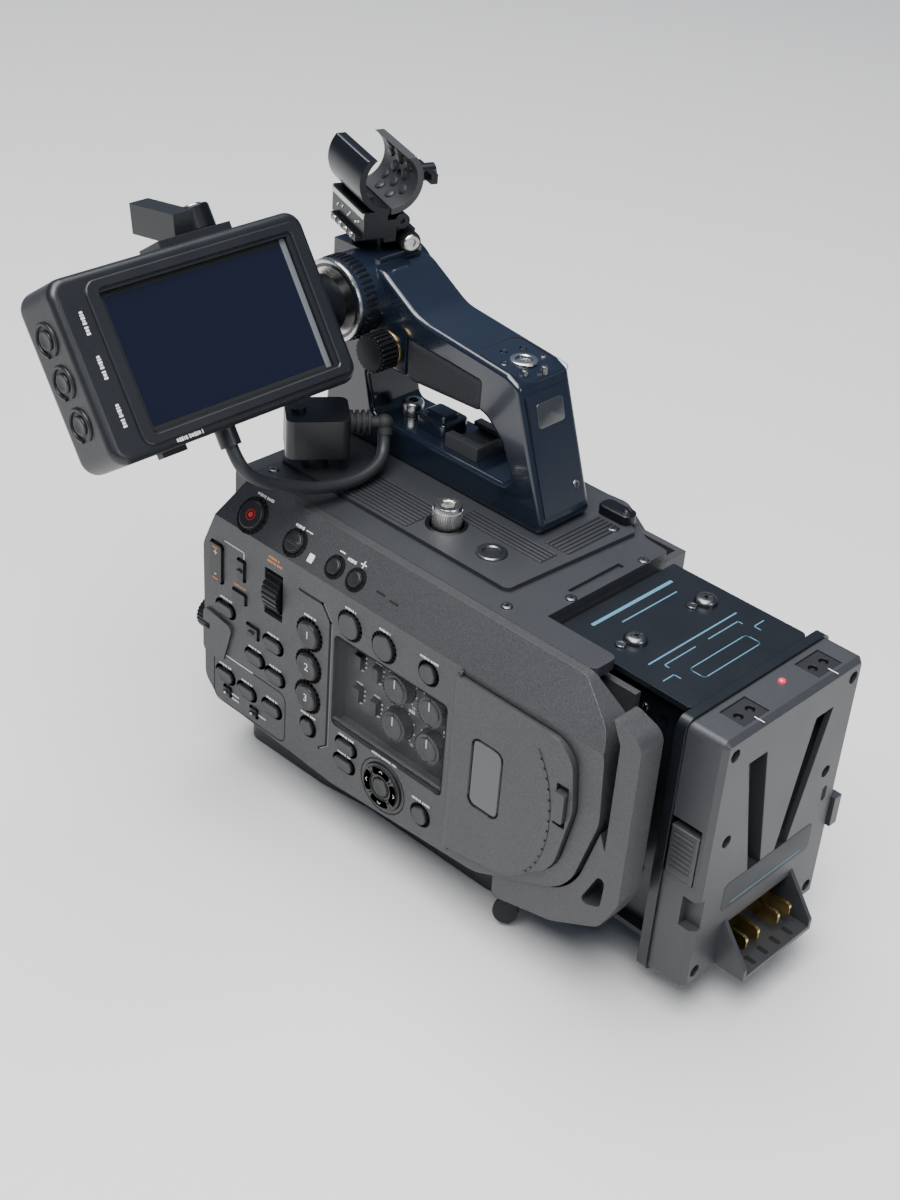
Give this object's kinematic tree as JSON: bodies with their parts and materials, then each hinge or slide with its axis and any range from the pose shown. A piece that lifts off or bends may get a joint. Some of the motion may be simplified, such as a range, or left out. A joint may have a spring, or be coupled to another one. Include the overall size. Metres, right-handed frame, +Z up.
{
  "type": "cinema camera rig",
  "caption": "Cinema camera body with operator panel, top handle, tilting rod-mounted monitor, microphone clamp and a wedge-battery adapter plate.",
  "frame": {"origin": "centre of the quarter-inch tripod thread on the underside of the base block", "axes": "+Z up, the lens mount faces -X and the operator panel faces -Y, +X runs back to the battery plate"},
  "size_m": [0.293, 0.2035, 0.261],
  "materials": {
    "panel_grey": "satin moulded plastic",
    "dark_plastic": "fine matt texture",
    "deck_black": "semi-gloss dark paint",
    "frame_metal": "cast, dark anodised",
    "steel": "brushed",
    "brass": "gold plated contacts",
    "rubber": "soft matt rubber",
    "glass": "dark coated glass",
    "clear": "clear moulded cover",
    "board": "coated circuit board"
  },
  "bodies": {
    "camera_body": {"accessory_shoe": "frame_metal", "adapter_housing": "deck_black", "base_plate": "deck_black", "battery_backplate": "dark_plastic", "battery_contacts": "brass", "battery_plate": "dark_plastic", "cable_boot": "rubber", "card_slot_block": "dark_plastic", "chassis_frame": "frame_metal", "front_frame": "frame_metal", "handle_frame": "deck_black", "handle_grip": "rubber", "handle_rear_cover": "dark_plastic", "image_sensor": "frame_metal", "left_cover": "panel_grey", "lens_flange": "steel", "machine_screws": "steel", "main_board": "board", "mic_base": "dark_plastic", "monitor_cable": "rubber", "monitor_socket": "dark_plastic", "panel_keys": "dark_plastic", "power_sockets": "dark_plastic", "rear_frame": "deck_black", "rear_guard": "panel_grey", "right_cover": "panel_grey", "socket_cap": "rubber", "top_deck": "deck_black"},
    "lock_ring": {"mount_lock_ring": "steel"},
    "nd_wheel": {"nd_dial": "frame_metal"},
    "front_wheel": {"front_dial": "frame_metal"},
    "rec_key": {"rec_button": "panel_grey"},
    "hold_key": {"hold_switch": "dark_plastic"},
    "volume_down_key": {"volume_minus": "panel_grey"},
    "volume_up_key": {"volume_plus": "panel_grey"},
    "assign_key_1": {"assign_button_1": "dark_plastic"},
    "assign_key_2": {"assign_button_2": "dark_plastic"},
    "assign_key_3": {"assign_button_3": "dark_plastic"},
    "menu_ring_key": {"menu_ring": "panel_grey"},
    "menu_key": {"menu_button": "panel_grey"},
    "nd_key": {"nd_rocker": "panel_grey"},
    "level_dial_1": {"audio_dial_1": "dark_plastic"},
    "level_dial_2": {"audio_dial_2": "dark_plastic"},
    "level_dial_3": {"audio_dial_3": "dark_plastic"},
    "level_dial_4": {"audio_dial_4": "dark_plastic"},
    "audio_lid": {"audio_cover": "clear"},
    "media_lid": {"media_door": "panel_grey", "door_window": "clear"},
    "media_latch": {"door_latch": "panel_grey"},
    "lock_knob": {"handle_lock_knob": "steel"},
    "clamp_knob": {"rod_clamp_knob": "frame_metal"},
    "monitor": {"monitor_arm": "frame_metal", "monitor_shell": "dark_plastic", "monitor_bezel": "dark_plastic", "monitor_glass": "glass", "monitor_keys": "dark_plastic", "hood_clip": "dark_plastic"},
    "mic_jaw": {"mic_cradle": "dark_plastic"},
    "wing_screw": {"mic_wing_screw": "steel"},
    "release_key": {"battery_release": "dark_plastic"}
  },
  "joints": [
    {"name": "mount_lock", "type": "hinge", "parent": "camera_body", "child": "lock_ring", "pos_m": [-0.1145, 0.014, 0.084], "axis": [1, 0, 0], "range_deg": [0, 25]},
    {"name": "nd_dial_turn", "type": "hinge", "parent": "camera_body", "child": "nd_wheel", "pos_m": [-0.0675, -0.058, 0.101], "axis": [1, 0, 0], "continuous": true},
    {"name": "front_dial_turn", "type": "hinge", "parent": "camera_body", "child": "front_wheel", "pos_m": [-0.1115, -0.0598, 0.066], "axis": [1, 0, 0], "continuous": true},
    {"name": "rec_press", "type": "slide", "parent": "camera_body", "child": "rec_key", "axis": [0, 0.7855, -0.6189], "range_m": [0, 0.001], "stiffness_N_per_m": 400, "springref_m": -0.001},
    {"name": "hold_press", "type": "slide", "parent": "camera_body", "child": "hold_key", "axis": [0, 0.7855, -0.6189], "range_m": [0, 0.001], "stiffness_N_per_m": 400, "springref_m": -0.001},
    {"name": "volume_down_press", "type": "slide", "parent": "camera_body", "child": "volume_down_key", "axis": [0, 0.7855, -0.6189], "range_m": [0, 0.001], "stiffness_N_per_m": 400, "springref_m": -0.001},
    {"name": "volume_up_press", "type": "slide", "parent": "camera_body", "child": "volume_up_key", "axis": [0, 0.7855, -0.6189], "range_m": [0, 0.001], "stiffness_N_per_m": 400, "springref_m": -0.001},
    {"name": "assign_press_1", "type": "slide", "parent": "camera_body", "child": "assign_key_1", "axis": [0, 1, 0], "range_m": [0, 0.001], "stiffness_N_per_m": 400, "springref_m": -0.001},
    {"name": "assign_press_2", "type": "slide", "parent": "camera_body", "child": "assign_key_2", "axis": [0, 1, 0], "range_m": [0, 0.001], "stiffness_N_per_m": 400, "springref_m": -0.001},
    {"name": "assign_press_3", "type": "slide", "parent": "camera_body", "child": "assign_key_3", "axis": [0, 1, 0], "range_m": [0, 0.001], "stiffness_N_per_m": 400, "springref_m": -0.001},
    {"name": "menu_ring_press", "type": "slide", "parent": "camera_body", "child": "menu_ring_key", "axis": [0, 1, 0], "range_m": [0, 0.0008], "stiffness_N_per_m": 400, "springref_m": -0.001},
    {"name": "menu_press", "type": "slide", "parent": "camera_body", "child": "menu_key", "axis": [0, 1, 0], "range_m": [0, 0.0008], "stiffness_N_per_m": 400, "springref_m": -0.001},
    {"name": "nd_rock", "type": "hinge", "parent": "camera_body", "child": "nd_key", "pos_m": [-0.103, -0.066, 0.0995], "axis": [1, 0, 0], "range_deg": [-1.2, 1.2], "stiffness_Nm_per_rad": 0.05},
    {"name": "level_turn_1", "type": "hinge", "parent": "camera_body", "child": "level_dial_1", "pos_m": [0.001, -0.058, 0.0904], "axis": [0, 1, 0], "range_deg": [-150, 150]},
    {"name": "level_turn_2", "type": "hinge", "parent": "camera_body", "child": "level_dial_2", "pos_m": [0.02, -0.058, 0.0904], "axis": [0, 1, 0], "range_deg": [-150, 150]},
    {"name": "level_turn_3", "type": "hinge", "parent": "camera_body", "child": "level_dial_3", "pos_m": [0.001, -0.058, 0.0726], "axis": [0, 1, 0], "range_deg": [-150, 150]},
    {"name": "level_turn_4", "type": "hinge", "parent": "camera_body", "child": "level_dial_4", "pos_m": [0.02, -0.058, 0.0726], "axis": [0, 1, 0], "range_deg": [-150, 150]},
    {"name": "audio_lid_open", "type": "hinge", "parent": "camera_body", "child": "audio_lid", "pos_m": [0, -0.0658, 0.06], "axis": [1, 0, 0], "range_deg": [0, 90]},
    {"name": "media_door_open", "type": "hinge", "parent": "camera_body", "child": "media_lid", "pos_m": [0.0375, -0.0676, 0.078], "axis": [0, 0, -1], "range_deg": [0, 95]},
    {"name": "media_latch_slide", "type": "slide", "parent": "media_lid", "child": "media_latch", "axis": [0, 0, 1], "range_m": [0, 0.0025]},
    {"name": "lock_knob_turn", "type": "hinge", "parent": "camera_body", "child": "lock_knob", "pos_m": [-0.0177, -0.0215, 0.138], "axis": [0, 0, 1], "continuous": true},
    {"name": "clamp_knob_turn", "type": "hinge", "parent": "camera_body", "child": "clamp_knob", "pos_m": [-0.0735, -0.005, 0.19], "axis": [0, 1, 0], "continuous": true},
    {"name": "monitor_tilt", "type": "hinge", "parent": "camera_body", "child": "monitor", "pos_m": [-0.096, 0, 0.205], "axis": [0, 1, 0], "range_deg": [-50, 40], "deforming": ["monitor_cable"]},
    {"name": "mic_jaw_open", "type": "hinge", "parent": "camera_body", "child": "mic_jaw", "pos_m": [-0.10203, 0.02013, 0.2352], "axis": [-0.9336, 0.3584, 0], "range_deg": [0, 30]},
    {"name": "wing_screw_turn", "type": "hinge", "parent": "mic_jaw", "child": "wing_screw", "pos_m": [-0.10055, 0.024, 0.248], "axis": [0.3584, 0.9336, 0], "continuous": true},
    {"name": "battery_release_press", "type": "slide", "parent": "camera_body", "child": "release_key", "axis": [0, 1, 0], "range_m": [0, 0.0012], "stiffness_N_per_m": 400, "springref_m": -0.001}
  ]
}
